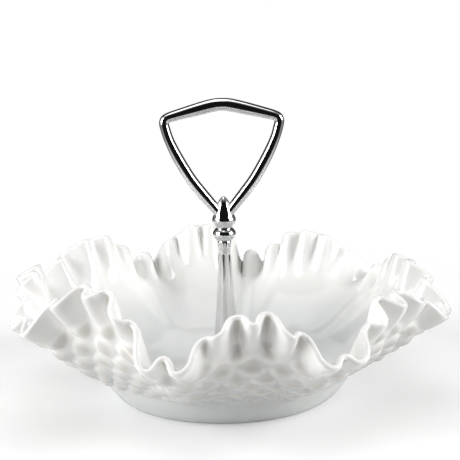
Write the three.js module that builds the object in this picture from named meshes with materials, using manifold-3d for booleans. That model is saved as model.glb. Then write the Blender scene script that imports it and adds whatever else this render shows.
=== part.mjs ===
// A footed serving bowl in milk glass with a ruffled, crimped rim, and a chromed centre handle
// bolted through a hole in the middle of its floor. Millimetres, +Z up, the table at Z = 0.
// Azimuths are in degrees from the front (-Y) towards +X.

import * as THREE from 'three';
import { mergeVertices } from 'three/addons/utils/BufferGeometryUtils.js';
import Module from 'manifold-3d';

const wasm = await Module();
wasm.setup();

// ---- Driving dimensions ----------------------------------------------------------------

const GAP = 0.1; // between parts that are clamped together
const BRAZE_GAP = 0.25; // between the loop's cut ends and the socket they are brazed to
const ROUND = 32; // facets round a small turned part

// Bowl
const FLOOR_TOP = 12.9;
const FLOOR_UNDERSIDE = 8.4;
const HOLE_RADIUS = 4.8;
const FLAT_RADIUS = 40; // edge of the flat middle of the floor
const FOOT_RADIUS = 51.6;
const FOOT_INNER_RADIUS = 48.5;
const BAND_TOP = { r: 61, z: 12.2 }; // where the smooth band above the foot meets the wall
const WALL_HALF_THICKNESS = 2.3; // at the floor
const RIM_HALF_THICKNESS = 1.7;

// Middle surface of the wall from the floor (t = 0) to the rim (t = 1), as r and z: one curve
// where the rim dips and one where it rises.
const TROUGH_CURVE = [[46, 10.6], [58, 13.2], [70, 18.6], [83, 26.5], [95.5, 34.5], [106.5, 42]];
const CREST_CURVE = [[46, 10.6], [57.5, 13.2], [69.2, 22], [79.5, 33], [88, 47.5], [95, 63]];

// The rim is shaped by hand, so its lobes differ a little. Each starts at a trough at `azimuth`.
// `dip` and `rise` lift that trough and the crest after it, `crimps` counts the folds up to the
// next trough, and `depth` scales them.
const LOBES = [
  { azimuth: -16, dip: 0, rise: 0, crimps: 5, depth: 0.95 },
  { azimuth: 28.5, dip: -2, rise: -5, crimps: 5, depth: 1.0 },
  { azimuth: 78.5, dip: 1, rise: -5, crimps: 5, depth: 1.0 },
  { azimuth: 128.5, dip: 0, rise: -3, crimps: 6, depth: 1.0 },
  { azimuth: 171.7, dip: 0, rise: 0, crimps: 5, depth: 1.5 },
  { azimuth: 205.6, dip: 2, rise: 0, crimps: 5, depth: 1.4 },
  { azimuth: 252, dip: 2, rise: 0, crimps: 5, depth: 1.0 },
  { azimuth: 298.5, dip: 6, rise: 6, crimps: 5, depth: 1.2 },
];
const CRIMP_DEPTH = 4.0; // each way from the middle surface, at the rim
const CRIMP_START = 0.7; // t where the crimps begin
const LOBE_START = 0.2; // t where the lift of each lobe begins
const CRIMP_PINCH = 0.35; // how far the narrow side of a fold closes, in crimps over 2 pi

// Handle
const TOTAL_HEIGHT = 145;
const LOOP_HALF_DEPTH = 3.5;
const SPIGOT_RADIUS = 1.6; // pin on the column's top that holds the bead and the socket
const SPIGOT_TOP = 91.5;
const COLUMN_TOP = 75.7;
const SHAFT_TOP = { r: 3.0, z: 71.4 };
const SHAFT_FOOT = { r: 6.9, z: 17 };
const FLUTES = 10;
const FLUTE_DEPTH = 0.1; // of the shaft's radius
const ROD_RADIUS = 2.45;
const ROD_BOTTOM = 1.2;
const ROD_TOP = 44;
const THREAD_CLEARANCE = 0.08;

// Stack on the tie rod, from the bowl's floor up and from its underside down
const UPPER_GASKET = { thickness: 1.1, radius: 8.6 };
const SEAT_WASHER = { thickness: 1.1, radius: 8.2 };
const LOWER_GASKET = { thickness: 1.0, radius: 9.5 };
const CUP_WASHER = { thickness: 0.8, radius: 11 };
const LOCK_WASHER = { thickness: 1.0, radius: 4.6 };
const NUT = { thickness: 3.2, acrossFlats: 8 };

// ---- Meshes and materials --------------------------------------------------------------

function chrome() {
  return new THREE.MeshStandardMaterial({ name: 'chrome', color: 0xd8dade, metalness: 1, roughness: 0.08 });
}

function milkGlass() {
  return new THREE.MeshStandardMaterial({ name: 'milk_glass', color: 0xf4f5f2, roughness: 0.15 });
}

function rubber() {
  return new THREE.MeshStandardMaterial({ name: 'rubber', color: 0x2a2a2a, roughness: 0.8 });
}

function zincSteel() {
  return new THREE.MeshStandardMaterial({ name: 'zinc_steel', color: 0xb4b8bb, metalness: 1, roughness: 0.35 });
}

function named(name, geometry, material) {
  const mesh = new THREE.Mesh(geometry, material);
  mesh.name = name;
  return mesh;
}

// Turns [r, z] points round the Z axis. Both ends are on the axis, or the profile is closed.
function turned(profile, segments = ROUND) {
  const points = profile.map(([r, z]) => new THREE.Vector2(r, z));
  const geometry = new THREE.LatheGeometry(points, segments);
  geometry.rotateX(Math.PI / 2);
  return geometry;
}

// A flat ring with a small chamfer on its outer edges.
function washer(inner, outer, low, high, chamfer = 0.2) {
  return turned([
    [inner, low],
    [outer - chamfer, low],
    [outer, low + chamfer],
    [outer, high - chamfer],
    [outer - chamfer, high],
    [inner, high],
    [inner, low],
  ]);
}

// Joins rings of points into one closed skin. Rings may differ in their number of points.
function skin(rings, { closed }) {
  const positions = [];
  const starts = [];
  for (const ring of rings) {
    starts.push(positions.length / 3);
    for (const p of ring) {
      positions.push(p.x, p.y, p.z);
    }
  }
  const index = [];
  const bands = closed ? rings.length : rings.length - 1;
  for (let k = 0; k < bands; k += 1) {
    const next = (k + 1) % rings.length;
    const n = rings[k].length;
    const m = rings[next].length;
    const a = (i) => starts[k] + (i % n);
    const b = (j) => starts[next] + (j % m);
    let i = 0;
    let j = 0;
    while (i < n || j < m) {
      if (j === m || (i < n && (i + 1) / n <= (j + 1) / m)) {
        index.push(a(i), a(i + 1), b(j));
        i += 1;
      } else {
        index.push(a(i), b(j + 1), b(j));
        j += 1;
      }
    }
  }
  if (!closed) {
    const last = rings.length - 1;
    for (let i = 1; i < rings[0].length - 1; i += 1) {
      index.push(starts[0], starts[0] + i + 1, starts[0] + i);
    }
    for (let i = 1; i < rings[last].length - 1; i += 1) {
      index.push(starts[last], starts[last] + i, starts[last] + i + 1);
    }
  }
  const geometry = new THREE.BufferGeometry();
  geometry.setAttribute('position', new THREE.Float32BufferAttribute(positions, 3));
  geometry.setIndex(index);
  geometry.computeVertexNormals();
  return geometry;
}

// ---- Solid cuts ------------------------------------------------------------------------

function toSolid(geometry) {
  const bare = geometry.clone();
  bare.deleteAttribute('normal');
  bare.deleteAttribute('uv');
  const merged = mergeVertices(bare, 1e-4);
  const mesh = new wasm.Mesh({
    numProp: 3,
    vertProperties: new Float32Array(merged.attributes.position.array),
    triVerts: new Uint32Array(merged.index.array),
  });
  return new wasm.Manifold(mesh);
}

function fromSolid(solid) {
  const mesh = solid.getMesh();
  const geometry = new THREE.BufferGeometry();
  geometry.setAttribute('position', new THREE.Float32BufferAttribute(mesh.vertProperties, mesh.numProp));
  geometry.setIndex(Array.from(mesh.triVerts));
  geometry.computeVertexNormals();
  return geometry;
}

// ---- Bowl ------------------------------------------------------------------------------

function smooth(x) {
  const s = Math.min(Math.max(x, 0), 1);
  return s * s * (3 - 2 * s);
}

function mix(a, b, s) {
  return a + (b - a) * s;
}

const lobeAfter = (k) => LOBES[(k + 1) % LOBES.length];
const lobeBefore = (k) => LOBES[(k + LOBES.length - 1) % LOBES.length];
const lobeWidth = (k) => (lobeAfter(k).azimuth - LOBES[k].azimuth + 360) % 360;
const crimpWidth = (k) => lobeWidth(k) / LOBES[k].crimps;
const CRIMP_COUNT = LOBES.reduce((sum, lobe) => sum + lobe.crimps, 0);

// Crimp width in degrees at the trough that lobe k starts from.
function troughCrimpWidth(k) {
  const here = crimpWidth(k);
  const before = crimpWidth((k + LOBES.length - 1) % LOBES.length);
  return (2 * here * before) / (here + before);
}

// Everything about the rim at crimp number u, counted round from the first trough.
function rimAt(u) {
  let k = 0;
  let start = 0;
  while (u >= start + LOBES[k].crimps) {
    start += LOBES[k].crimps;
    k += 1;
  }
  const lobe = LOBES[k];
  const s = (u - start) / lobe.crimps;
  const crest = (1 - Math.cos(2 * Math.PI * s)) / 2;
  const side = s < 0.5 ? lobeBefore(k) : lobeAfter(k);
  const dip = s < 0.5 ? lobe.dip : lobeAfter(k).dip;
  // Cubic Hermite from trough to trough keeps the crimp width changing smoothly.
  const m0 = troughCrimpWidth(k) * lobe.crimps;
  const m1 = troughCrimpWidth((k + 1) % LOBES.length) * lobe.crimps;
  const along = s * s * (3 - 2 * s) * lobeWidth(k)
    + s * (1 - s) * (1 - s) * m0
    + s * s * (s - 1) * m1;
  return {
    azimuth: lobe.azimuth + along,
    crest,
    lift: mix(dip, lobe.rise, crest),
    depth: mix((lobe.depth + side.depth) / 2, lobe.depth, crest) * CRIMP_DEPTH,
    fold: Math.cos(2 * Math.PI * u),
    slide: Math.sin(2 * Math.PI * u),
  };
}

function curveOf(points) {
  return new THREE.SplineCurve(points.map(([r, z]) => new THREE.Vector2(r, z)));
}

const TROUGH = curveOf(TROUGH_CURVE);
const CREST = curveOf(CREST_CURVE);

// Middle surface before crimping, as r and z.
function middle(rim, t) {
  const low = TROUGH.getPoint(t);
  const high = CREST.getPoint(t);
  const lift = rim.lift * smooth((t - LOBE_START) / (1 - LOBE_START));
  return new THREE.Vector2(mix(low.x, high.x, rim.crest), mix(low.y, high.y, rim.crest) + lift);
}

// A point `inward` of the middle surface and `onward` past its end, at crimp number u.
function wallPoint(u, t, inward, onward = 0) {
  const rim = rimAt(u);
  const step = 0.001;
  const before = middle(rim, Math.max(t - step, 0));
  const after = middle(rim, Math.min(t + step, 1));
  const along = after.sub(before).normalize();
  const point = middle(rim, t);
  const grow = smooth((t - CRIMP_START) / (1 - CRIMP_START));
  const across = inward + rim.depth * grow * rim.fold;
  const r = point.x - along.y * across + along.x * onward;
  const z = point.y + along.x * across + along.y * onward;
  const pinch = (1 - 2 * rim.crest) * CRIMP_PINCH * grow * rim.slide;
  return onAzimuth(rim.azimuth + THREE.MathUtils.radToDeg(pinch / CRIMP_COUNT), r, z);
}

function onAzimuth(azimuth, r, z) {
  const a = THREE.MathUtils.degToRad(azimuth);
  return new THREE.Vector3(r * Math.sin(a), -r * Math.cos(a), z);
}

function ring(perCrimp, pointAt) {
  const count = CRIMP_COUNT * perCrimp;
  return Array.from({ length: count }, (_, i) => pointAt((i * CRIMP_COUNT) / count));
}

function bowl() {
  const COARSE = 2; // points per crimp
  const MEDIUM = 3;
  const FINE = 6;
  const half = (t) => mix(WALL_HALF_THICKNESS, RIM_HALF_THICKNESS, t);
  const plain = (r, z) => ring(COARSE, (u) => onAzimuth(rimAt(u).azimuth, r, z));
  const wall = (t, side, density) => ring(density, (u) => wallPoint(u, t, side * half(t)));
  const edge = (degrees) => {
    const a = THREE.MathUtils.degToRad(degrees);
    return ring(FINE, (u) => wallPoint(u, 1, RIM_HALF_THICKNESS * Math.sin(a), RIM_HALF_THICKNESS * Math.cos(a)));
  };
  const lowWall = [0.32, 0.44, 0.56];
  const highWall = [0.68, 0.79, 0.9, 1];
  const rings = [
    plain(HOLE_RADIUS, FLOOR_UNDERSIDE),
    plain(FLAT_RADIUS, FLOOR_UNDERSIDE),
    plain(FOOT_INNER_RADIUS - 2, FLOOR_UNDERSIDE - 1.4),
    plain(FOOT_INNER_RADIUS, 1),
    plain(FOOT_INNER_RADIUS + 1, 0),
    plain(FOOT_RADIUS, 0),
    plain(FOOT_RADIUS + 1.6, 1.1),
    plain(FOOT_RADIUS + 4.6, 4.2),
    plain(FOOT_RADIUS + 7.4, 8),
    plain(BAND_TOP.r, BAND_TOP.z),
    ...lowWall.map((t) => wall(t, -1, MEDIUM)),
    ...highWall.map((t) => wall(t, -1, FINE)),
    edge(-45),
    edge(0),
    edge(45),
    ...highWall.toReversed().map((t) => wall(t, 1, FINE)),
    ...lowWall.toReversed().map((t) => wall(t, 1, MEDIUM)),
    wall(0.16, 1, COARSE),
    wall(0, 1, COARSE),
    plain(FLAT_RADIUS, FLOOR_TOP),
    plain(HOLE_RADIUS, FLOOR_TOP),
  ];
  return named('bowl', skin(rings, { closed: true }), milkGlass());
}

// ---- Handle ----------------------------------------------------------------------------

// Outline of the socket from its tip down to the neck: a pointed acorn with a skirt.
const SOCKET_OUTLINE = [
  [0.9, 97.1], [1.9, 95.8], [3.0, 93.6], [4.0, 91], [4.8, 88.6], [5.4, 87.2],
  [5.7, 86.2], [5.5, 85.2], [4.7, 84.1], [3.9, 83.2], [3.55, 82.4],
];
const SOCKET_TIP = 97.4;
const SOCKET_BOTTOM = 82.1;
const SPIGOT_BORE = SPIGOT_RADIUS + GAP;

function loopSocket() {
  const profile = [
    [0, SOCKET_TIP],
    ...SOCKET_OUTLINE,
    [3.5, SOCKET_BOTTOM],
    [SPIGOT_BORE, SOCKET_BOTTOM],
    [SPIGOT_BORE, SPIGOT_TOP + 0.3],
    [0, SPIGOT_TOP + 0.6],
  ];
  return named('loop_socket', turned(profile.toReversed()), chrome());
}

// Right half of the loop from the socket to the apex: outer edge, then inner edge, as x and z.
const LOOP_HALF = [
  [[2.9, 86.4], [0.8, 91.2]],
  [[8.9, 93.5], [5.1, 96.9]],
  [[13.1, 98.5], [8.6, 101.4]],
  [[18.0, 105.4], [13.3, 107.8]],
  [[23.7, 115.5], [19.0, 117.6]],
  [[27.6, 124.6], [23.1, 126.0]],
  [[29.6, 131.2], [24.9, 131.9]],
  [[29.9, 134.3], [25.2, 133.2]],
  [[28.7, 136.9], [24.9, 133.8]],
  [[26.0, 138.5], [24.2, 134.1]],
  [[21.5, 140.0], [20.8, 134.9]],
  [[11.5, 143.0], [11.0, 137.0]],
  [[4.5, 144.7], [3.2, 138.7]],
  [[0, TOTAL_HEIGHT], [0, 139.0]],
];

// A rounded bar whose width runs between the two edges.
function barSection(outer, inner) {
  const SIDES = 16;
  const SQUARENESS = 2.6; // exponent of the superellipse
  const centre = outer.clone().add(inner).multiplyScalar(0.5);
  const halfWidth = outer.clone().sub(inner).multiplyScalar(0.5);
  const round = (v) => Math.sign(v) * Math.abs(v) ** (2 / SQUARENESS);
  return Array.from({ length: SIDES }, (_, i) => {
    const a = (2 * Math.PI * i) / SIDES;
    const across = round(Math.cos(a));
    const deep = round(Math.sin(a)) * LOOP_HALF_DEPTH;
    return new THREE.Vector3(centre.x + halfWidth.x * across, deep, centre.y + halfWidth.y * across);
  });
}

function handleLoop() {
  const STATIONS = 52;
  const mirror = ([[ox, oz], [ix, iz]]) => [[-ox, oz], [-ix, iz]];
  const whole = [...LOOP_HALF, ...LOOP_HALF.slice(0, -1).toReversed().map(mirror)];
  const outer = curveOf(whole.map((pair) => pair[0]));
  const inner = curveOf(whole.map((pair) => pair[1]));
  const sections = Array.from({ length: STATIONS + 1 }, (_, i) => {
    const s = i / STATIONS;
    return barSection(outer.getPoint(s), inner.getPoint(s));
  });
  const bar = skin(sections, { closed: false });
  const seat = turned([
    [0, SOCKET_TIP + BRAZE_GAP],
    ...SOCKET_OUTLINE.map(([r, z]) => [r + BRAZE_GAP, z + BRAZE_GAP]),
    [3.5 + BRAZE_GAP, SOCKET_BOTTOM],
    [0, SOCKET_BOTTOM],
  ].toReversed());
  const cut = toSolid(bar).subtract(toSolid(seat));
  return named('handle_loop', fromSolid(cut), chrome());
}

function neckBead() {
  const top = SOCKET_BOTTOM - GAP;
  const bottom = COLUMN_TOP + GAP;
  const profile = [
    [SPIGOT_BORE, bottom],
    [3.4, bottom],
    [4.5, 76.7],
    [5.3, 77.8],
    [5.6, 79.1],
    [5.3, 80.3],
    [4.4, 81.3],
    [3.5, top],
    [SPIGOT_BORE, top],
    [SPIGOT_BORE, bottom],
  ];
  return named('neck_bead', turned(profile), chrome());
}

// Height of the underside of the column, which stands on the washers above the floor.
const GASKET_TOP = FLOOR_TOP + GAP + UPPER_GASKET.thickness;
const SEAT_TOP = GASKET_TOP + GAP + SEAT_WASHER.thickness;
const COLUMN_FOOT = SEAT_TOP + GAP;

function column() {
  const SHAFT_RINGS = 8;
  const ROD_BORE = ROD_RADIUS + THREAD_CLEARANCE;
  const profile = [
    [0, ROD_TOP + 1],
    [ROD_BORE, ROD_TOP + 0.5],
    [ROD_BORE, COLUMN_FOOT],
    [SHAFT_FOOT.r, COLUMN_FOOT],
    [SHAFT_FOOT.r + 0.3, COLUMN_FOOT + 0.6],
    [SHAFT_FOOT.r + 0.1, SHAFT_FOOT.z - 0.4],
  ];
  for (let i = 0; i <= SHAFT_RINGS; i += 1) {
    const s = i / SHAFT_RINGS;
    // The shaft flares a little more towards its foot than a plain cone does.
    const r = mix(SHAFT_FOOT.r, SHAFT_TOP.r, s) - 0.35 * Math.sin(Math.PI * s);
    profile.push([r, mix(SHAFT_FOOT.z, SHAFT_TOP.z, s)]);
  }
  profile.push(
    [SHAFT_TOP.r + 0.35, SHAFT_TOP.z + 0.7],
    [3.4, COLUMN_TOP - 0.5],
    [3.2, COLUMN_TOP],
    [SPIGOT_RADIUS, COLUMN_TOP],
    [SPIGOT_RADIUS, SPIGOT_TOP - 0.3],
    [0, SPIGOT_TOP],
  );
  const geometry = turned(profile, FLUTES * 6);
  flute(geometry);
  return named('column', geometry, chrome());
}

// Hollows concave flutes between sharp edges, fading out at both ends of the shaft.
function flute(geometry) {
  const position = geometry.attributes.position;
  const point = new THREE.Vector3();
  for (let i = 0; i < position.count; i += 1) {
    point.fromBufferAttribute(position, i);
    const angle = Math.atan2(point.y, point.x);
    const outside = Math.hypot(point.x, point.y) > ROD_RADIUS + 0.3;
    const ends = smooth((point.z - SHAFT_FOOT.z) / 2) * smooth((SHAFT_TOP.z - point.z) / 2);
    if (outside && ends > 0) {
      const scale = 1 - FLUTE_DEPTH * ends * Math.abs(Math.cos((FLUTES * angle) / 2));
      position.setXYZ(i, point.x * scale, point.y * scale, point.z);
    }
  }
  geometry.computeVertexNormals();
}

function tieRod() {
  const profile = [
    [0, ROD_BOTTOM],
    [ROD_RADIUS - 0.5, ROD_BOTTOM],
    [ROD_RADIUS, ROD_BOTTOM + 0.5],
    [ROD_RADIUS, ROD_TOP - 0.5],
    [ROD_RADIUS - 0.5, ROD_TOP],
    [0, ROD_TOP],
  ];
  return named('tie_rod', turned(profile), zincSteel());
}

// ---- Stack on the tie rod --------------------------------------------------------------

const ROD_HOLE = ROD_RADIUS + 0.35; // in the washers and gaskets

function upperGasket() {
  const low = FLOOR_TOP + GAP;
  return named('upper_gasket', washer(ROD_HOLE, UPPER_GASKET.radius, low, GASKET_TOP), rubber());
}

function seatWasher() {
  const low = GASKET_TOP + GAP;
  return named('seat_washer', washer(ROD_HOLE, SEAT_WASHER.radius, low, SEAT_TOP, 0.35), chrome());
}

// Hangs a part of the given thickness below `ceiling` and gives its lowest and highest Z.
function below(ceiling, { thickness }) {
  const high = ceiling - GAP;
  return { low: high - thickness, high };
}

const LOWER_GASKET_Z = below(FLOOR_UNDERSIDE, LOWER_GASKET);
const CUP_WASHER_Z = below(LOWER_GASKET_Z.low, CUP_WASHER);
const LOCK_WASHER_Z = below(CUP_WASHER_Z.low, LOCK_WASHER);
const NUT_Z = below(LOCK_WASHER_Z.low, NUT);

function lowerGasket() {
  const { low, high } = LOWER_GASKET_Z;
  return named('lower_gasket', washer(ROD_HOLE, LOWER_GASKET.radius, low, high), rubber());
}

function cupWasher() {
  const { low, high } = CUP_WASHER_Z;
  return named('cup_washer', washer(ROD_HOLE, CUP_WASHER.radius, low, high), zincSteel());
}

// A spring washer: a ring split by a slanting cut.
function lockWasher() {
  const SPLIT = 0.8;
  const { low, high } = LOCK_WASHER_Z;
  const ringSolid = toSolid(washer(ROD_HOLE, LOCK_WASHER.radius, low, high));
  const slot = new THREE.BoxGeometry(SPLIT, LOCK_WASHER.radius * 2, LOCK_WASHER.thickness * 3);
  slot.rotateY(Math.PI / 5);
  slot.translate(0, -LOCK_WASHER.radius, (low + high) / 2);
  return named('lock_washer', fromSolid(ringSolid.subtract(toSolid(slot))), zincSteel());
}

function hexNut() {
  const { low, high } = NUT_Z;
  const corner = NUT.acrossFlats / Math.sqrt(3);
  const hexagon = new THREE.CylinderGeometry(corner, corner, NUT.thickness, 6);
  hexagon.rotateX(Math.PI / 2);
  hexagon.translate(0, 0, (low + high) / 2);
  // The turned blank takes the hexagon's sharp corners off at both faces.
  const face = NUT.acrossFlats / 2 - 0.1;
  const blank = turned([
    [0, low],
    [face, low],
    [corner, low + 0.5],
    [corner, high - 0.5],
    [face, high],
    [0, high],
  ]);
  const bore = new THREE.CylinderGeometry(
    ROD_RADIUS + THREAD_CLEARANCE, ROD_RADIUS + THREAD_CLEARANCE, NUT.thickness * 2, ROUND,
  );
  bore.rotateX(Math.PI / 2);
  bore.translate(0, 0, (low + high) / 2);
  const solid = toSolid(hexagon).intersect(toSolid(blank)).subtract(toSolid(bore));
  return named('hex_nut', fromSolid(solid), zincSteel());
}

// ---- Assembly --------------------------------------------------------------------------

const server = new THREE.Group();
server.name = 'chip_and_dip_server';
server.add(
  bowl(),
  upperGasket(),
  seatWasher(),
  column(),
  neckBead(),
  loopSocket(),
  handleLoop(),
  tieRod(),
  lowerGasket(),
  cupWasher(),
  lockWasher(),
  hexNut(),
);

export default server;
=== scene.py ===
"""Looks for a footed milk-glass bowl with a ruffled rim and a chromed centre handle.

Every piece is rebuilt as a fine mesh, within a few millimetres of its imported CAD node, with the
hobnails, threads and rounded edges that the CAD leaves out. The object's lengths
and outlines are in millimetres, and new_object() turns them into metres. Materials, floor, lights
and camera are in metres. Everything is in the CAD frame.
"""

import math

import bmesh
import bpy
import numpy as np
from mathutils import Matrix, Vector


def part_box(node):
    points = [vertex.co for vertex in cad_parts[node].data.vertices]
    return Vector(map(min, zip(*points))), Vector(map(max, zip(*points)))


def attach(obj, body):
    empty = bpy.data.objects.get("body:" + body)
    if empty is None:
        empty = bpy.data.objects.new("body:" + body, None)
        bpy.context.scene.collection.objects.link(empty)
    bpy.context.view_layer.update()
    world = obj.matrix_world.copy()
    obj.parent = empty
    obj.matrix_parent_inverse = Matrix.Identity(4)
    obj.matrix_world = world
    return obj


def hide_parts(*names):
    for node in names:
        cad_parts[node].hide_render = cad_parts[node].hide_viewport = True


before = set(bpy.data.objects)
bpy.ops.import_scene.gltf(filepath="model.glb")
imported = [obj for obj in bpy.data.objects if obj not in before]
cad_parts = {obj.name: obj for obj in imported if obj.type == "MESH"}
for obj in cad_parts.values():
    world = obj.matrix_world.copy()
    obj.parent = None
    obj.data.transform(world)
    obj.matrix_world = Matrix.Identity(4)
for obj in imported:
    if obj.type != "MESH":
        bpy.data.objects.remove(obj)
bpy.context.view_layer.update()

MM = 0.001
TURN = 2 * math.pi

# ---- The bowl's shape --------------------------------------------------------------------------

FLOOR_TOP = 12.9
FLOOR_UNDERSIDE = 8.4
HOLE_RADIUS = 4.8
FLAT_RADIUS = 40.0
FOOT_RADIUS = 51.6
FOOT_INNER_RADIUS = 48.5
BAND_TOP = (61.0, 12.2)
WALL_HALF_THICKNESS = 2.3
RIM_HALF_THICKNESS = 1.45

# Middle surface of the wall from the floor (t = 0) to the rim (t = 1), as radius and height.
TROUGH_CURVE = np.array([(46, 10.6), (58, 13.2), (70, 18.6), (83, 26.5), (95.5, 34.5), (106.5, 42)])
CREST_CURVE = np.array([(46, 10.6), (57.5, 13.2), (69.2, 22), (79.5, 33), (88, 47.5), (95, 63)])

# One row per lobe of the hand-shaped rim: azimuth of the trough it starts from in degrees from the
# front towards +X, lift of that trough, lift of the crest after it, crimps to the next trough, how
# deep they are at that trough and on that crest, and how much wider they are on the inner side
# where the rim rises.
LOBES = np.array([
    (-14.8, 0, -2.6, 5, 0.95, 0.85, 0.35),
    (28.5, -2, -5, 5, 1.0, 1.0, 0.2),
    (78.5, 1, -5, 5, 0.95, 0.9, 0.1),
    (128.5, 0, -2.3, 6, 0.9, 0.5, 0.0),
    (171.7, 0, 0.8, 5, 1.6, 0.6, -0.1),
    (205.6, 2, 0.8, 5, 1.2, 0.65, -0.1),
    (252.0, 2, 0, 5, 1.0, 0.9, 0.1),
    (298.5, 6, 6, 5, 1.1, 1.1, 0.2),
])
AZIMUTH, DIP, RISE, CRIMPS, DIP_DEPTH, RISE_DEPTH, WIDENING = LOBES.T
CRIMP_COUNT = int(CRIMPS.sum())
CREST_BREADTH = 3  # 2 is a plain wave; more makes crests broad and troughs narrow
CRIMP_DEPTH = 4.4
CRIMP_START, CRIMP_FULL = 0.70, 0.98  # t where the crimps begin, and where they are full
CRIMP_UNEVENNESS = 0.26  # how much deeper and shallower than the rest some crimps are
UNEVEN_WAVES = 11  # round the bowl
UNEVEN_PHASE = 4.2
CRIMP_ROUNDNESS = 0.22  # widens both sides of a crimp and steepens what joins them
LOBE_START = 0.2  # t where the lobes' own lifts begin
VALLEY_SHARPNESS = 1.9  # narrows the valleys between lobes low on the wall

# Hobnails: staggered rows of domes on the outside of the wall.
HOBS_PER_ROW = 38
HOB_FIRST_AZIMUTH = 2.5  # degrees from the front; every other row starts half a pitch on
HOB_HEIGHT = (1.3, 2.3)  # on the lowest and on the highest row
HOB_TOP = 0.87  # t above which the wall is smooth
HOB_GROWTH_START, HOB_GROWTH_SPAN = 0.27, 0.4  # t where they begin to grow taller, and over how much
HOB_FADE_IN, HOB_FADE_OUT = 0.02, 0.06  # spans of t in which they come up and die away
VALLEY = 0.5  # how far the valleys between hobnails lie below the plain wall
HOB_ROWS = [  # t up the wall, half width, half height
    (0.272, 5.0, 2.9),
    (0.325, 5.3, 3.6),
    (0.395, 5.8, 4.4),
    (0.48, 6.4, 5.2),
    (0.575, 6.9, 5.9),
    (0.68, 7.4, 6.4),
    (0.79, 7.4, 6.4),
]
WALL_LENGTH = 76.0  # along the middle surface from t = 0 to t = 1


def smooth(x):
    s = np.clip(x, 0, 1)
    return s * s * (3 - 2 * s)


def mix(a, b, s):
    return a + (b - a) * s


def spline(points, t):
    """Catmull-Rom curve through the points, evenly spaced in t from 0 to 1."""
    spans = len(points) - 1
    padded = np.vstack([points[:1], points, points[-1:]])
    x = np.clip(t, 0, 1) * spans
    i = np.minimum(x.astype(int), spans - 1)
    f = (x - i)[..., None]
    p0, p1, p2, p3 = (padded[i + k] for k in range(4))
    return 0.5 * (
        2 * p1 + (p2 - p0) * f + (2 * p0 - 5 * p1 + 4 * p2 - p3) * f**2
        + (3 * p1 - p0 - 3 * p2 + p3) * f**3
    )


def rim_at(u):
    """What the rim does at crimp numbers u, counted round from the first trough."""
    starts = np.concatenate([[0], np.cumsum(CRIMPS)[:-1]])
    k = np.clip(np.searchsorted(starts, u, side="right") - 1, 0, len(LOBES) - 1)
    after = (k + 1) % len(LOBES)
    s = (u - starts[k]) / CRIMPS[k]
    crest = 1 - np.abs(np.cos(math.pi * s)) ** CREST_BREADTH
    width = (np.roll(AZIMUTH, -1) - AZIMUTH) % 360
    pitch = width / CRIMPS
    trough_pitch = 2 * pitch * np.roll(pitch, 1) / (pitch + np.roll(pitch, 1))
    along = (
        s * s * (3 - 2 * s) * width[k]
        + s * (1 - s) ** 2 * trough_pitch[k] * CRIMPS[k]
        + s * s * (s - 1) * trough_pitch[after] * CRIMPS[k]
    )
    first_half = s < 0.5
    dip = np.where(first_half, DIP[k], DIP[after])
    uneven = 1 + CRIMP_UNEVENNESS * np.sin(TURN * UNEVEN_WAVES * u / CRIMP_COUNT - UNEVEN_PHASE)
    dip_depth = np.where(first_half, DIP_DEPTH[k], DIP_DEPTH[after])
    return {
        "azimuth": np.radians(AZIMUTH[k] + along),
        "crest": crest,
        "widening": WIDENING[k],
        "lift": mix(dip, RISE[k], crest),
        "depth": mix(dip_depth, RISE_DEPTH[k], crest) * CRIMP_DEPTH * uneven,
    }


def middle(rim, t):
    """Middle surface before crimping, as radius and height."""
    low, high = spline(TROUGH_CURVE, t), spline(CREST_CURVE, t)
    valley = (1 - rim["crest"]) ** mix(VALLEY_SHARPNESS, 1, smooth(t))
    point = mix(high, low, valley[..., None])
    point[..., 1] += rim["lift"] * smooth((t - LOBE_START) / (1 - LOBE_START))
    return point


def hobnails(azimuth, t, radius):
    """How far each point is up a hobnail: 0 in the valleys, about 1 on the tops."""
    pitch = TURN / HOBS_PER_ROW
    total = 0
    for row, (at, half_width, half_height) in enumerate(HOB_ROWS):
        first = math.radians(HOB_FIRST_AZIMUTH) + pitch * (row % 2) / 2
        offset = (azimuth - first + pitch / 2) % pitch - pitch / 2
        across = offset * radius / half_width
        up = (t - at) * WALL_LENGTH / half_height
        total = total + np.clip(1 - across**2 - up**2, 0, None) ** 3
    return np.sqrt(total)


def hobbed_share(t):
    """1 where the wall has hobnails, fading to 0 at its foot and below the crimps."""
    return smooth((t - WALL_FOOT) / HOB_FADE_IN) * smooth((HOB_TOP - t) / HOB_FADE_OUT)


def relief(hobs, t):
    """How far the outside stands out from the plain wall, in millimetres."""
    height = mix(*HOB_HEIGHT, smooth((t - HOB_GROWTH_START) / HOB_GROWTH_SPAN))
    return hobs * height - VALLEY


def crimp_growth(t):
    """How far the crimps have grown: 0 low on the wall and 1 at the rim."""
    return smooth((t - CRIMP_START) / (CRIMP_FULL - CRIMP_START))


def wall_middle(u, t):
    """Middle surface with its crimps, as points at crimp numbers u and heights t."""
    u, t = np.broadcast_arrays(u, t)
    rim = rim_at(u)
    step = 0.001
    along = middle(rim, np.minimum(t + step, 1)) - middle(rim, np.maximum(t - step, 0))
    along /= np.linalg.norm(along, axis=-1, keepdims=True)
    point = middle(rim, t)
    grow = crimp_growth(t)
    across = rim["depth"] * grow * np.cos(TURN * u)
    radius = point[..., 0] - along[..., 1] * across
    height = point[..., 1] + along[..., 0] * across
    widening = (2 * rim["crest"] - 1) * rim["widening"] * np.sin(TURN * u)
    meander = CRIMP_ROUNDNESS * np.sin(2 * TURN * u)
    return around(rim["azimuth"] + grow * (widening + meander) / CRIMP_COUNT, radius, height)


def unit(vectors):
    return vectors / np.linalg.norm(vectors, axis=-1, keepdims=True)


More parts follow.
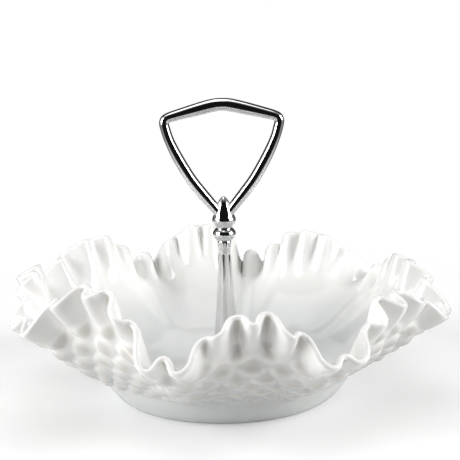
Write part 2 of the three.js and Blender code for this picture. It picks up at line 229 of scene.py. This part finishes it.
def wall_normals(points):
    """Unit normals of a grid of points, towards the inside of the bowl."""
    round_the_bowl = np.roll(points, -1, axis=1) - np.roll(points, 1, axis=1)
    up_the_wall = np.gradient(points, axis=0)
    return unit(np.cross(up_the_wall, round_the_bowl)), unit(up_the_wall)


def around(azimuth, radius, height):
    """Points at an azimuth, a radius and a height, which may be a row, a column or a grid each."""
    azimuth, radius, height = np.broadcast_arrays(azimuth, radius, height)
    return np.stack([radius * np.sin(azimuth), -radius * np.cos(azimuth), height], axis=-1)


# ---- Mesh making -------------------------------------------------------------------------------


def new_object(name, points, faces):
    mesh = bpy.data.meshes.new(name)
    mesh.from_pydata((np.asarray(points).reshape(-1, 3) * MM).tolist(), [], faces)
    mesh.validate()
    mesh.shade_smooth()
    obj = bpy.data.objects.new(name, mesh)
    bpy.context.scene.collection.objects.link(obj)
    return obj


def outward(obj):
    """Turns every face of a closed mesh to face out."""
    mesh = obj.data
    bm = bmesh.new()
    bm.from_mesh(mesh)
    bmesh.ops.recalc_face_normals(bm, faces=bm.faces)
    bm.to_mesh(mesh)
    bm.free()
    return obj


def grid_faces(rows, columns, wrap_rows):
    """Quads of a grid whose columns run round a closed ring."""
    index = np.arange(rows * columns).reshape(rows, columns)
    low = index if wrap_rows else index[:-1]
    high = np.roll(index, -1, axis=0) if wrap_rows else index[1:]
    quads = np.stack([low, np.roll(low, -1, 1), np.roll(high, -1, 1), high], axis=-1)
    return quads.reshape(-1, 4).tolist()


def capped_tube_faces(rows, columns):
    """Quads of a tube, with a flat cap on each of its ends."""
    last = (rows - 1) * columns
    caps = [list(range(columns))[::-1], [last + i for i in range(columns)]]
    return grid_faces(rows, columns, False) + caps


def squared(v, power):
    """A sine or cosine bulged so that the circle it belongs to becomes a rounded square."""
    return np.sign(v) * np.abs(v) ** power


def box_mm(node):
    """Lowest and highest corner of a CAD node, in millimetres."""
    return [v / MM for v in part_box(node)]


def rounded(outline, radius, steps=4):
    """The outline with each inner corner replaced by a short arc."""
    points = [np.array(p, float) for p in outline]
    out = [points[0]]
    for before, corner, after in zip(points, points[1:], points[2:]):
        a, b = before - corner, after - corner
        reach = min(radius, 0.45 * np.linalg.norm(a), 0.45 * np.linalg.norm(b))
        start = corner + a / np.linalg.norm(a) * reach
        end = corner + b / np.linalg.norm(b) * reach
        for s in np.linspace(0, 1, steps + 1):
            out.append((1 - s) ** 2 * start + 2 * s * (1 - s) * corner + s * s * end)
    out.append(points[-1])
    return np.array(out)


def turned(name, outline, segments=96, shape=None):
    """Turns an (r, z) outline round Z. It starts and ends on the axis, or closes on itself."""
    outline = np.asarray(outline, float)
    closed = np.allclose(outline[0], outline[-1])
    if closed:
        outline = outline[:-1]
    azimuth = np.linspace(0, TURN, segments, endpoint=False)[None, :]
    radius = np.maximum(outline[:, 0, None], 1e-4)
    if shape is not None:
        radius = shape(azimuth, radius, outline[:, 1, None])
    points = around(azimuth, radius, outline[:, 1, None])
    return new_object(name, points, grid_faces(len(outline), segments, closed))


# ---- Bowl --------------------------------------------------------------------------------------

COLUMNS_PER_CRIMP = 12
WALL_FOOT = 0.25  # t where the wall's outside leaves the band above the foot
WALL_ROWS = 97
FLOOR_EDGE = 49  # radius where the floor meets the inside of the wall
HOLLOW_SHADE = 1.0  # painted shade in the crimps' outer hollows, up to this; a hobnail's top gets 1


def foot_outline():
    """Radius and height from the hole's lower edge out round the foot to the top of the band."""
    inside = rounded(
        [
            (HOLE_RADIUS, FLOOR_UNDERSIDE + 1.5),
            (HOLE_RADIUS, FLOOR_UNDERSIDE),
            (FLAT_RADIUS, FLOOR_UNDERSIDE),
            (FOOT_INNER_RADIUS - 2, FLOOR_UNDERSIDE - 1.4),
            (FOOT_INNER_RADIUS, 1.0),
            (FOOT_INNER_RADIUS + 0.8, 0.0),
            (FOOT_RADIUS - 0.3, 0.0),
            (FOOT_RADIUS + 0.9, 0.6),
        ],
        1.6,
    )
    band = np.array([
        (FOOT_RADIUS + 0.9, 0.6),
        (FOOT_RADIUS + 2.6, 1.9),
        (FOOT_RADIUS + 4.9, 4.2),
        (FOOT_RADIUS + 7.5, 8.0),
        (FOOT_RADIUS + 8.7, 10.4),
        BAND_TOP,
    ])
    return np.vstack([inside, spline(band, np.linspace(0, 1, 14))[1:]])


def ringed_rows(azimuth, outline):
    """The same outline at every azimuth."""
    return around(azimuth, outline[:, 0, None], outline[:, 1, None])


def floor_outline():
    """Radius and height from the wall in to the hole and down into it."""
    return rounded(
        [
            (FLOOR_EDGE, FLOOR_TOP + 0.4),
            (FLAT_RADIUS, FLOOR_TOP),
            (HOLE_RADIUS, FLOOR_TOP),
            (HOLE_RADIUS, FLOOR_TOP - 1.5),
        ],
        0.8,
    )


def bowl():
    u = np.arange(CRIMP_COUNT * COLUMNS_PER_CRIMP)[None, :] / COLUMNS_PER_CRIMP
    azimuth = rim_at(u)["azimuth"]
    t = np.linspace(WALL_FOOT, 1, WALL_ROWS)[:, None]
    surface = wall_middle(u, t)
    normal, up = wall_normals(surface)
    half = mix(WALL_HALF_THICKNESS, RIM_HALF_THICKNESS, t)
    hobs = hobnails(azimuth, t, np.hypot(surface[..., 0], surface[..., 1]))
    hobbed = hobbed_share(t)
    outside = surface - normal * (half + relief(hobs, t) * hobbed)[..., None]
    inside = surface + normal * half[..., None]
    angles = np.linspace(-math.pi / 2, math.pi / 2, 10)[1:-1]
    edge = [
        surface[-1] + RIM_HALF_THICKNESS * (normal[-1] * math.sin(a) + up[-1] * math.cos(a))
        for a in angles
    ]
    foot = ringed_rows(azimuth, foot_outline())
    middle_floor = ringed_rows(azimuth, floor_outline())
    points = np.vstack([foot, outside, edge, inside[::-3], middle_floor])
    piece = outward(new_object("bowl_glass", points, grid_faces(*points.shape[:2], True)))
    # Painted shade: a value per point, stored on the mesh, that darkens the glass colour on the
    # hobnails' tops and in the crimps' outer hollows
    hollows = HOLLOW_SHADE * crimp_growth(t) * np.clip(np.cos(TURN * u), 0, 1) ** 2
    painted_shade = np.zeros(points.shape[:2])
    painted_shade[len(foot):len(foot) + len(outside)] = np.maximum(hobs * hobbed, hollows)
    layer = piece.data.attributes.new("painted_shade", "FLOAT", "POINT")
    layer.data.foreach_set("value", painted_shade.ravel().astype(np.float32))
    return piece


# ---- Handle ------------------------------------------------------------------------------------

TOTAL_HEIGHT = 145.0
LOOP_HALF_DEPTH = 3.5
SOCKET_TIP = 97.4
SOCKET_BOTTOM = 82.1
COLUMN_TOP = 75.7
SHAFT_TOP = (3.0, 71.4)
SHAFT_FOOT = (6.9, 17.0)
FLUTES = 10
FLUTE_DEPTH = 0.13
SPIGOT_RADIUS = 1.6
ROD_RADIUS = 2.45
ROD_BOTTOM = 1.2
ROD_TOP = 44.0

# Right half of the loop from the socket to the apex: outer edge, then inner edge, as x and z.
LOOP_HALF = [
    ((2.9, 86.4), (0.8, 91.2)),
    ((8.9, 93.5), (5.1, 96.9)),
    ((13.1, 98.5), (8.6, 101.4)),
    ((18.0, 105.4), (13.3, 107.8)),
    ((23.7, 115.5), (19.0, 117.6)),
    ((27.6, 124.6), (23.1, 126.0)),
    ((29.6, 131.2), (24.9, 131.9)),
    ((29.9, 134.3), (25.2, 133.2)),
    ((28.7, 136.9), (24.9, 133.8)),
    ((26.0, 138.5), (24.2, 134.1)),
    ((21.5, 140.0), (20.8, 134.9)),
    ((11.5, 143.0), (11.0, 137.0)),
    ((4.5, 144.7), (3.2, 138.7)),
    ((0.0, TOTAL_HEIGHT), (0.0, 139.0)),
]


def handle_loop():
    """A rounded bar that runs between the outer and the inner edge, pointed into the socket."""
    stations, sides, squareness = 320, 40, 2.4
    mirrored = [((-a[0], a[1]), (-b[0], b[1])) for a, b in reversed(LOOP_HALF[:-1])]
    pairs = np.array(LOOP_HALF + mirrored)
    s = np.linspace(0, 1, stations)
    outer, inner = spline(pairs[:, 0], s), spline(pairs[:, 1], s)
    centre, half = (outer + inner) / 2, (outer - inner) / 2
    angle = np.linspace(0, TURN, sides, endpoint=False)
    across = squared(np.cos(angle), 2 / squareness)[None, :]
    deep = squared(np.sin(angle), 2 / squareness)[None, :] * LOOP_HALF_DEPTH + np.zeros((stations, 1))
    points = np.stack(
        [centre[:, :1] + half[:, :1] * across, deep, centre[:, 1:] + half[:, 1:] * across], axis=-1
    )
    return outward(new_object("loop_bar", points, capped_tube_faces(stations, sides)))


def loop_socket():
    """An acorn-shaped casting with a pointed tip."""
    side = spline(np.array([
        (0.05, SOCKET_TIP),
        (0.95, 97.0),
        (2.1, 95.6),
        (3.35, 93.4),
        (4.3, 90.9),
        (4.95, 88.4),
        (5.45, 87.2),
        (5.7, 86.2),
        (5.6, 85.3),
        (5.2, 84.3),
        (4.6, 83.3),
        (4.05, SOCKET_BOTTOM + 0.3),
    ]), np.linspace(0, 1, 90))
    bottom = [(3.9, SOCKET_BOTTOM), (SPIGOT_RADIUS, SOCKET_BOTTOM), (0, SOCKET_BOTTOM)]
    outline = [(0, SOCKET_TIP), *side, *bottom]
    return outward(turned("acorn_socket", outline))


def neck_bead():
    """The round bead between the socket and the column."""
    top, bottom = SOCKET_BOTTOM - 0.1, COLUMN_TOP + 0.1
    side = spline(np.array([
        (3.4, bottom),
        (3.75, bottom + 0.25),
        (4.6, 76.8),
        (5.35, 77.9),
        (5.6, 79.1),
        (5.35, 80.2),
        (4.65, 81.2),
        (4.0, top - 0.2),
        (3.8, top),
    ]), np.linspace(0, 1, 64))
    bore = SPIGOT_RADIUS + 0.1
    return outward(turned("neck_bead_turned", [(bore, bottom), *side, (bore, top), (bore, bottom)]))


def column():
    """Tapered shaft with sharp-edged concave flutes between a plain foot and a collar."""
    foot_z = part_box("column")[0].z / MM
    s = np.linspace(0, 1, 110)
    radius = mix(SHAFT_FOOT[0], SHAFT_TOP[0], s) - 0.35 * np.sin(math.pi * s)
    shaft = np.stack([radius, mix(SHAFT_FOOT[1], SHAFT_TOP[1], s)], axis=-1)
    base = rounded(
        [
            (ROD_RADIUS + 0.1, foot_z),
            (SHAFT_FOOT[0] + 0.1, foot_z),
            (SHAFT_FOOT[0] + 0.3, foot_z + 0.7),
            (SHAFT_FOOT[0] + 0.1, SHAFT_FOOT[1] - 0.4),
            tuple(shaft[0]),
        ],
        0.4,
    )
    collar = rounded(
        [
            tuple(shaft[-1]),
            (SHAFT_TOP[0] + 0.35, SHAFT_TOP[1] + 0.7),
            (3.4, COLUMN_TOP - 0.5),
            (3.2, COLUMN_TOP),
            (SPIGOT_RADIUS, COLUMN_TOP),
            (SPIGOT_RADIUS, SOCKET_BOTTOM + 6),
            (0, SOCKET_BOTTOM + 6),
        ],
        0.35,
    )
    bore = [(0, ROD_TOP + 1), (ROD_RADIUS + 0.1, ROD_TOP + 0.5)]

    def fluted(azimuth, r, z):
        ends = smooth((z - SHAFT_FOOT[1]) / 2.5) * smooth((SHAFT_TOP[1] - z) / 2.5)
        ends = ends * (r > ROD_RADIUS + 0.2)
        return r * (1 - FLUTE_DEPTH * ends * np.abs(np.cos(FLUTES * azimuth / 2)))

    outline = [*bore, *base, *shaft[1:-1], *collar]
    return outward(turned("fluted_column", outline, FLUTES * 24, fluted))


# ---- Stack on the tie rod ----------------------------------------------------------------------


WASHER_BORE = ROD_RADIUS + 0.35
THREAD_PITCH = 0.8


def ring(name, node, edge):
    """A washer or gasket of the CAD node's size, with edges rounded by edge millimetres."""
    low, high = box_mm(node)
    inner, outer = WASHER_BORE, high.x
    middle_radius = (inner + outer) / 2
    outline = rounded(
        [
            (middle_radius, low.z),
            (outer, low.z),
            (outer, high.z),
            (inner, high.z),
            (inner, low.z),
            (middle_radius, low.z),
        ],
        edge,
    )
    return outward(turned(name, outline))


def cup_washer():
    """A thin steel washer whose rim is pressed down a little."""
    low, high = box_mm("cup_washer")
    inner, outer = WASHER_BORE, high.x
    sheet = 0.55  # thickness of the steel
    top = [
        (inner, high.z),
        (outer * 0.72, high.z),
        (outer * 0.9, high.z - 0.08),
        (outer, low.z + sheet * 0.55),
    ]
    under = [
        (outer - 0.12, low.z),
        (outer * 0.88, high.z - sheet - 0.08),
        (outer * 0.7, high.z - sheet),
    ]
    outline = rounded([*top, *under, (inner, high.z - sheet), (inner, high.z)], 0.2)
    return outward(turned("cup_washer_pressed", outline))


def lock_washer():
    """A spring ring, split by a slanting cut whose ends stand apart in height."""
    low, high = box_mm("lock_washer")
    inner, outer = WASHER_BORE, high.x
    centre, half_width = (inner + outer) / 2, (outer - inner) / 2
    rise, steps, sides = 0.18, 140, 24
    half_height = (high.z - low.z - rise) / 2
    gap = math.radians(9)
    turn = np.linspace(gap, TURN - gap, steps)[:, None]
    angle = np.linspace(0, TURN, sides, endpoint=False)[None, :]
    radius = centre + half_width * squared(np.cos(angle), 0.4)
    middle_z = (low.z + high.z) / 2 + rise * (turn / TURN - 0.5)
    height = middle_z + half_height * squared(np.sin(angle), 0.4)
    slant = 0.12 * np.sin(angle)
    points = around(turn + slant, radius, height)
    return outward(new_object("lock_washer_split", points, capped_tube_faces(steps, sides)))


def thread_radius(azimuth, z, crest, depth, pitch):
    """Radius of a right-hand screw thread with rounded crests."""
    phase = (z / pitch - azimuth / TURN) % 1
    return crest - depth * (1 - np.abs(2 * phase - 1)) ** 1.1


def tie_rod():
    """A rod threaded at its lower end, with a chamfered tip."""
    depth, chamfer, thread_end, segments = 0.38, 0.5, 15.0, 72
    shank = ROD_RADIUS - 0.2
    z = np.arange(ROD_BOTTOM, thread_end, THREAD_PITCH / 10)[:, None]
    azimuth = np.linspace(0, TURN, segments, endpoint=False)[None, :]
    thread = thread_radius(azimuth, z, ROD_RADIUS, depth, THREAD_PITCH)
    cone = ROD_RADIUS - depth - chamfer + (z - ROD_BOTTOM) * 1.6
    radius = np.minimum(thread, cone)
    plain = np.array([(shank, thread_end + 0.2), (shank, ROD_TOP), (1e-4, ROD_TOP)])
    points = np.vstack([
        ringed_rows(azimuth, np.array([(1e-4, ROD_BOTTOM)])),
        around(azimuth, radius, z),
        ringed_rows(azimuth, plain),
    ])
    return outward(new_object("threaded_rod", points, grid_faces(len(points), segments, False)))


def hex_nut():
    """A hexagon whose corners are turned off at both faces, with a threaded bore."""
    low, high = box_mm("hex_nut")
    flat = high.x  # half the width across the flats
    segments = 144
    azimuth = np.linspace(0, TURN, segments, endpoint=False)[None, :]
    side = (azimuth + math.pi / 2) % (math.pi / 3) - math.pi / 6
    hexagon = flat / np.cos(side)
    bevel = np.linspace(0, 0.7, 10)  # heights in from a face, across the turned-off corners
    heights = [[low.z], low.z + bevel, high.z - bevel[::-1], [high.z]]
    z = np.concatenate(heights)[:, None]
    from_face = np.minimum(z - low.z, high.z - z)
    cone = flat - 0.15 + from_face * 1.7
    outside = np.minimum(hexagon, cone)
    depth, mouth = 0.35, 0.4  # of the thread's groove, and of the countersink at each face
    bore_z = np.arange(high.z, low.z - 1e-6, -THREAD_PITCH / 8)[:, None]
    sunk = smooth((bore_z - high.z + mouth) / mouth) + smooth((low.z + mouth - bore_z) / mouth)
    bore = ROD_RADIUS + 0.1 + 0.3 * sunk
    groove = depth * np.abs(2 * ((bore_z / THREAD_PITCH - azimuth / TURN) % 1) - 1)
    points = np.vstack([
        around(azimuth, outside, z),
        around(azimuth, bore + groove * 0.5, bore_z),
    ])
    return outward(new_object("hex_nut_turned", points, grid_faces(len(points), segments, True)))


# ---- Materials ---------------------------------------------------------------------------------


class Shader:
    """A Principled material with short ways to add nodes."""

    def __init__(self, name, **sockets):
        self.material = bpy.data.materials.new(name)
        self.material.use_nodes = True
        self.tree = self.material.node_tree
        self.principled = next(n for n in self.tree.nodes if n.type == "BSDF_PRINCIPLED")
        for socket, value in sockets.items():
            self.principled.inputs[socket.replace("_", " ")].default_value = value
        self.coords = self.tree.nodes.new("ShaderNodeTexCoord")

    def link(self, source, target):
        self.tree.links.new(source, target)
        return source

    def noise(self, scale, detail=3.0, roughness=0.5, stretch=None):
        node = self.tree.nodes.new("ShaderNodeTexNoise")
        node.inputs["Scale"].default_value = scale
        node.inputs["Detail"].default_value = detail
        node.inputs["Roughness"].default_value = roughness
        source = self.coords.outputs["Object"]
        if stretch is not None:
            mapping = self.tree.nodes.new("ShaderNodeMapping")
            mapping.inputs["Scale"].default_value = stretch
            self.link(source, mapping.inputs["Vector"])
            source = mapping.outputs["Vector"]
        self.link(source, node.inputs["Vector"])
        return node.outputs["Fac"]

    def ramp(self, value, stops):
        node = self.tree.nodes.new("ShaderNodeValToRGB")
        elements = node.color_ramp.elements
        while len(elements) < len(stops):
            elements.new(0.5)
        for element, (at, color) in zip(elements, stops):
            element.position = at
            element.color = (*color, 1.0)
        self.link(value, node.inputs["Fac"])
        return node.outputs["Color"]

    def remap(self, value, low, high):
        node = self.tree.nodes.new("ShaderNodeMapRange")
        node.inputs["To Min"].default_value = low
        node.inputs["To Max"].default_value = high
        self.link(value, node.inputs["Value"])
        return node.outputs["Result"]

    def between(self, value, low, high):
        """0 below the lower value and 1 above the higher one."""
        node = self.tree.nodes.new("ShaderNodeMapRange")
        node.interpolation_type = "SMOOTHSTEP"
        node.inputs["From Min"].default_value = low
        node.inputs["From Max"].default_value = high
        self.link(value, node.inputs["Value"])
        return node.outputs["Result"]

    def height(self, low, high):
        """0 below the lower height in metres and 1 above the higher one."""
        split = self.tree.nodes.new("ShaderNodeSeparateXYZ")
        self.link(self.coords.outputs["Object"], split.inputs["Vector"])
        return self.between(split.outputs["Z"], low, high)

    def mix(self, share, low, high):
        """Colour low where share is 0 and high where it is 1."""
        node = self.tree.nodes.new("ShaderNodeMix")
        node.data_type = "RGBA"
        self.link(share, node.inputs["Factor"])
        self.link(low, node.inputs[6])
        self.link(high, node.inputs[7])
        return node.outputs[2]

    def bump(self, height, strength, distance, under=None):
        node = self.tree.nodes.new("ShaderNodeBump")
        node.inputs["Strength"].default_value = strength
        node.inputs["Distance"].default_value = distance
        self.link(height, node.inputs["Height"])
        if under is not None:
            self.link(under, node.inputs["Normal"])
        return node.outputs["Normal"]

    def set(self, **links):
        for socket, source in links.items():
            self.link(source, self.principled.inputs[socket.replace("_", " ")])
        return self.material


SHADE_FROM, SHADE_FULL = 0.4, 0.95  # painted shade value at which the darker colour begins, and where it is full


def milk_glass():
    """Opal glass: white with faint swirls, a wavy fire-polished gloss and light that soaks in. Its
    colour carries painted shade: greyer low on the bowl, and darker on the hobnails' tops and in the
    crimps' outer hollows.
    """
    shader = Shader(
        "milk_glass",
        IOR=1.5,
        Subsurface_Weight=0.4,
        Subsurface_Radius=(1.0, 0.93, 0.85),
        Subsurface_Scale=0.003,
    )
    swirl = shader.noise(28, detail=4, stretch=(1, 1, 2.2))
    # Painted shade: the colour is greyer and darker low on the bowl, below 14 mm, turning white by 50
    # mm up
    painted_low_shade = shader.ramp(swirl, [(0.3, (0.65, 0.67, 0.67)), (0.7, (0.70, 0.71, 0.70))])
    thin = shader.ramp(swirl, [(0.3, (0.93, 0.925, 0.90)), (0.7, (0.97, 0.965, 0.945))])
    color = shader.mix(shader.height(0.014, 0.050), painted_low_shade, thin)
    # Painted shade: a darker, browner colour where the mesh's painted shade value is high
    painted_shade = shader.tree.nodes.new("ShaderNodeAttribute")
    painted_shade.attribute_name = "painted_shade"
    shade_color = shader.ramp(swirl, [(0.3, (0.66, 0.645, 0.605)), (0.7, (0.71, 0.695, 0.655))])
    color = shader.mix(shader.between(painted_shade.outputs["Fac"], SHADE_FROM, SHADE_FULL), color, shade_color)
    gloss = shader.remap(shader.noise(140, detail=2), 0.04, 0.11)
    waves = shader.bump(shader.noise(75, detail=1), 0.25, 0.0006)
    pits = shader.bump(shader.noise(1400, detail=2), 0.04, 0.0002, under=waves)
    return shader.set(Base_Color=color, Roughness=gloss, Normal=pits)


def chrome():
    """Bright plate with a little haze, faint polishing lines and tiny dints."""
    shader = Shader("chrome", Metallic=1.0)
    color = shader.ramp(shader.noise(60), [(0.3, (0.68, 0.685, 0.69)), (0.7, (0.76, 0.76, 0.765))])
    haze = shader.remap(shader.noise(220, detail=3), 0.04, 0.08)
    lines = shader.bump(shader.noise(500, detail=2, stretch=(1, 1, 9)), 0.012, 0.0002)
    dints = shader.bump(shader.noise(160, detail=1), 0.03, 0.0003, under=lines)
    return shader.set(Base_Color=color, Roughness=haze, Normal=dints)


def zinc_steel():
    """Zinc-plated steel: blotchy, dull, with fine turning marks."""
    shader = Shader("zinc_steel", Metallic=1.0)
    blotches = shader.noise(320, detail=5)
    color = shader.ramp(blotches, [(0.3, (0.46, 0.47, 0.48)), (0.7, (0.66, 0.66, 0.64))])
    rough = shader.remap(shader.noise(700, detail=3), 0.28, 0.5)
    marks = shader.bump(shader.noise(2600, detail=2, stretch=(0.2, 0.2, 1)), 0.25, 0.0001)
    return shader.set(Base_Color=color, Roughness=rough, Normal=marks)


def rubber():
    """Matt black rubber with a dusty bloom and a fine grain."""
    shader = Shader("rubber", IOR=1.45)
    bloom = shader.noise(260, detail=5)
    color = shader.ramp(bloom, [(0.35, (0.012, 0.012, 0.013)), (0.7, (0.04, 0.04, 0.042))])
    rough = shader.remap(shader.noise(900, detail=2), 0.6, 0.85)
    grain = shader.bump(shader.noise(3200, detail=3), 0.35, 0.0001)
    return shader.set(Base_Color=color, Roughness=rough, Normal=grain)


# ---- Assembly ----------------------------------------------------------------------------------

MATERIALS = {
    "milk_glass": milk_glass(),
    "chrome": chrome(),
    "zinc_steel": zinc_steel(),
    "rubber": rubber(),
}


def place(piece, node, body, slot):
    """Puts a finished piece in for a CAD node, on the node's body."""
    piece.data.materials.clear()
    piece.data.materials.append(MATERIALS[slot])
    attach(piece, body)
    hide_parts(node)


place(bowl(), "bowl", "dish", "milk_glass")
place(ring("gasket_above", "upper_gasket", 0.35), "upper_gasket", "dish", "rubber")
place(ring("washer_seat", "seat_washer", 0.4), "seat_washer", "handle", "chrome")
place(column(), "column", "handle", "chrome")
place(neck_bead(), "neck_bead", "handle", "chrome")
place(loop_socket(), "loop_socket", "handle", "chrome")
place(handle_loop(), "handle_loop", "handle", "chrome")
place(tie_rod(), "tie_rod", "handle", "zinc_steel")
place(ring("gasket_below", "lower_gasket", 0.35), "lower_gasket", "clamp_stack", "rubber")
place(cup_washer(), "cup_washer", "clamp_stack", "zinc_steel")
place(lock_washer(), "lock_washer", "clamp_stack", "zinc_steel")
place(hex_nut(), "hex_nut", "nut", "zinc_steel")


# ---- Stage, light and camera -------------------------------------------------------------------

ROOM_STRENGTH = 0.30  # as reflections see it
ROOM_FILL = 0.12  # share of that which lights the glass
# Each is where a change starts and ends, and the brightness before and after it.
DARK_FRONT = (math.radians(46), math.radians(58), 0.03, 1.0)  # angle from the front
DARK_TOP = (math.sin(math.radians(50)), math.sin(math.radians(65)), 0.03, 1.0)  # up
GREY_BACK = (math.radians(118), math.radians(134), 1.0, 0.15)
FLOOR_GLOW = 0.05  # strength of the light it gives off
FLOOR_ALPHA = 0.85  # lets some of the white backdrop through
FLOOR_RADIUS = 0.34  # in metres, as is the next one
FLOOR_FADE = 0.12  # radius from which the floor fades out


def floor():
    """A white table top that fades into the white backdrop."""
    mesh = bpy.data.meshes.new("floor")
    azimuth = np.linspace(0, TURN, 96, endpoint=False)
    rim = around(azimuth, FLOOR_RADIUS / MM, 0) * MM
    mesh.from_pydata(rim.tolist(), [], [list(range(len(rim)))[::-1]])
    obj = bpy.data.objects.new("floor", mesh)
    bpy.context.scene.collection.objects.link(obj)
    shader = Shader("floor_paper", Roughness=0.9, Emission_Strength=FLOOR_GLOW)
    paper = shader.ramp(shader.noise(2.0), [(0.3, (0.95, 0.95, 0.95)), (0.7, (0.97, 0.97, 0.97))])
    length = shader.tree.nodes.new("ShaderNodeVectorMath")
    length.operation = "LENGTH"
    shader.link(shader.coords.outputs["Object"], length.inputs[0])
    fade = shader.tree.nodes.new("ShaderNodeMapRange")
    fade.interpolation_type = "SMOOTHSTEP"
    fade.inputs["From Min"].default_value = FLOOR_FADE
    fade.inputs["From Max"].default_value = FLOOR_RADIUS
    fade.inputs["To Min"].default_value = FLOOR_ALPHA
    fade.inputs["To Max"].default_value = 0.0
    shader.link(length.outputs["Value"], fade.inputs["Value"])
    mesh.materials.append(shader.set(Base_Color=paper, Alpha=fade.outputs["Result"]))


def softbox(name, at, size, power, mirrored=True):
    """A rectangular area light at a point in metres, aimed at the middle of the object."""
    light = bpy.data.lights.new(name, "AREA")
    light.shape = "RECTANGLE"
    light.size, light.size_y = size
    light.energy = power
    obj = bpy.data.objects.new(name, light)
    obj.visible_glossy = mirrored
    obj.location = at
    aim = Vector((0, 0, 0.06)) - Vector(at)
    obj.rotation_euler = aim.to_track_quat("-Z", "Y").to_euler()
    bpy.context.scene.collection.objects.link(obj)


def room_light():
    """White room with a dark side low at the front and a grey one at the back. Only glass, chrome
    and the floor see it: the picture's own background is white."""
    world = bpy.data.worlds.new("room")
    bpy.context.scene.world = world
    world.use_nodes = True
    tree = world.node_tree
    lit = tree.nodes["Background"]
    coords = tree.nodes.new("ShaderNodeTexCoord")

    def math_node(operation, a, b):
        node = tree.nodes.new("ShaderNodeMath")
        node.operation = operation
        for socket, value in zip(node.inputs, (a, b)):
            if isinstance(value, float):
                socket.default_value = value
            else:
                tree.links.new(value, socket)
        return node.outputs["Value"]

    def step(value, start, end, low, high):
        node = tree.nodes.new("ShaderNodeMapRange")
        node.interpolation_type = "SMOOTHSTEP"
        for name, number in zip(("From Min", "From Max", "To Min", "To Max"), (start, end, low, high)):
            node.inputs[name].default_value = number
        tree.links.new(value, node.inputs["Value"])
        return node.outputs["Result"]

    axes = tree.nodes.new("ShaderNodeSeparateXYZ")
    tree.links.new(coords.outputs["Generated"], axes.inputs["Vector"])
    away = math_node("ARCTAN2", axes.outputs["X"], math_node("MULTIPLY", axes.outputs["Y"], -1.0))
    away = math_node("ABSOLUTE", away, 0.0)  # angle from the front, either way round
    front = step(away, *DARK_FRONT)
    front = math_node("MAXIMUM", front, step(axes.outputs["Z"], *DARK_TOP))
    back = step(away, *GREY_BACK)
    tree.links.new(math_node("MULTIPLY", front, back), lit.inputs["Color"])
    path = tree.nodes.new("ShaderNodeLightPath")
    share = math_node("MAXIMUM", path.outputs["Is Glossy Ray"], ROOM_FILL)
    tree.links.new(math_node("MULTIPLY", share, ROOM_STRENGTH), lit.inputs["Strength"])
    seen = tree.nodes.new("ShaderNodeBackground")
    seen.inputs["Color"].default_value = (1, 1, 1, 1)
    mixer = tree.nodes.new("ShaderNodeMixShader")
    tree.links.new(path.outputs["Is Camera Ray"], mixer.inputs["Fac"])
    tree.links.new(lit.outputs["Background"], mixer.inputs[1])
    tree.links.new(seen.outputs["Background"], mixer.inputs[2])
    tree.links.new(mixer.outputs["Shader"], tree.nodes["World Output"].inputs["Surface"])


def camera():
    """Long lens, a little above the rim, leaning slightly as the photograph does."""
    distance, height = 0.670, 0.2151
    pitch, yaw, roll = math.radians(11.34), math.radians(0.24), math.radians(-1.3)
    data = bpy.data.cameras.new("camera")
    data.sensor_width = 36.0
    data.lens = 110.1
    obj = bpy.data.objects.new("camera", data)
    look = Vector((math.sin(yaw) * math.cos(pitch), math.cos(yaw) * math.cos(pitch), -math.sin(pitch)))
    right = look.cross(Vector((0, 0, 1))).normalized()
    up = right.cross(look)
    rolled_right = right * math.cos(roll) + up * math.sin(roll)
    rolled_up = up * math.cos(roll) - right * math.sin(roll)
    obj.matrix_world = Matrix.Translation((0, -distance, height)) @ Matrix(
        (rolled_right, rolled_up, -look)
    ).transposed().to_4x4()
    bpy.context.scene.collection.objects.link(obj)
    bpy.context.scene.camera = obj


floor()
softbox("left", (-1.05, -0.32, 0.58), (0.7, 0.7), 10.6)
softbox("right", (1.05, -0.24, 0.53), (0.7, 0.7), 12.6)
softbox("low_left", (-0.95, -0.5, 0.16), (0.5, 0.3), 3.0)
softbox("overhead", (-0.1, 0.1, 1.2), (1.0, 1.0), 5.4)
softbox("behind", (0.0, 0.9, 0.9), (0.9, 0.5), 1.5, mirrored=False)
room_light()
camera()
bpy.context.scene.view_settings.view_transform = "Standard"
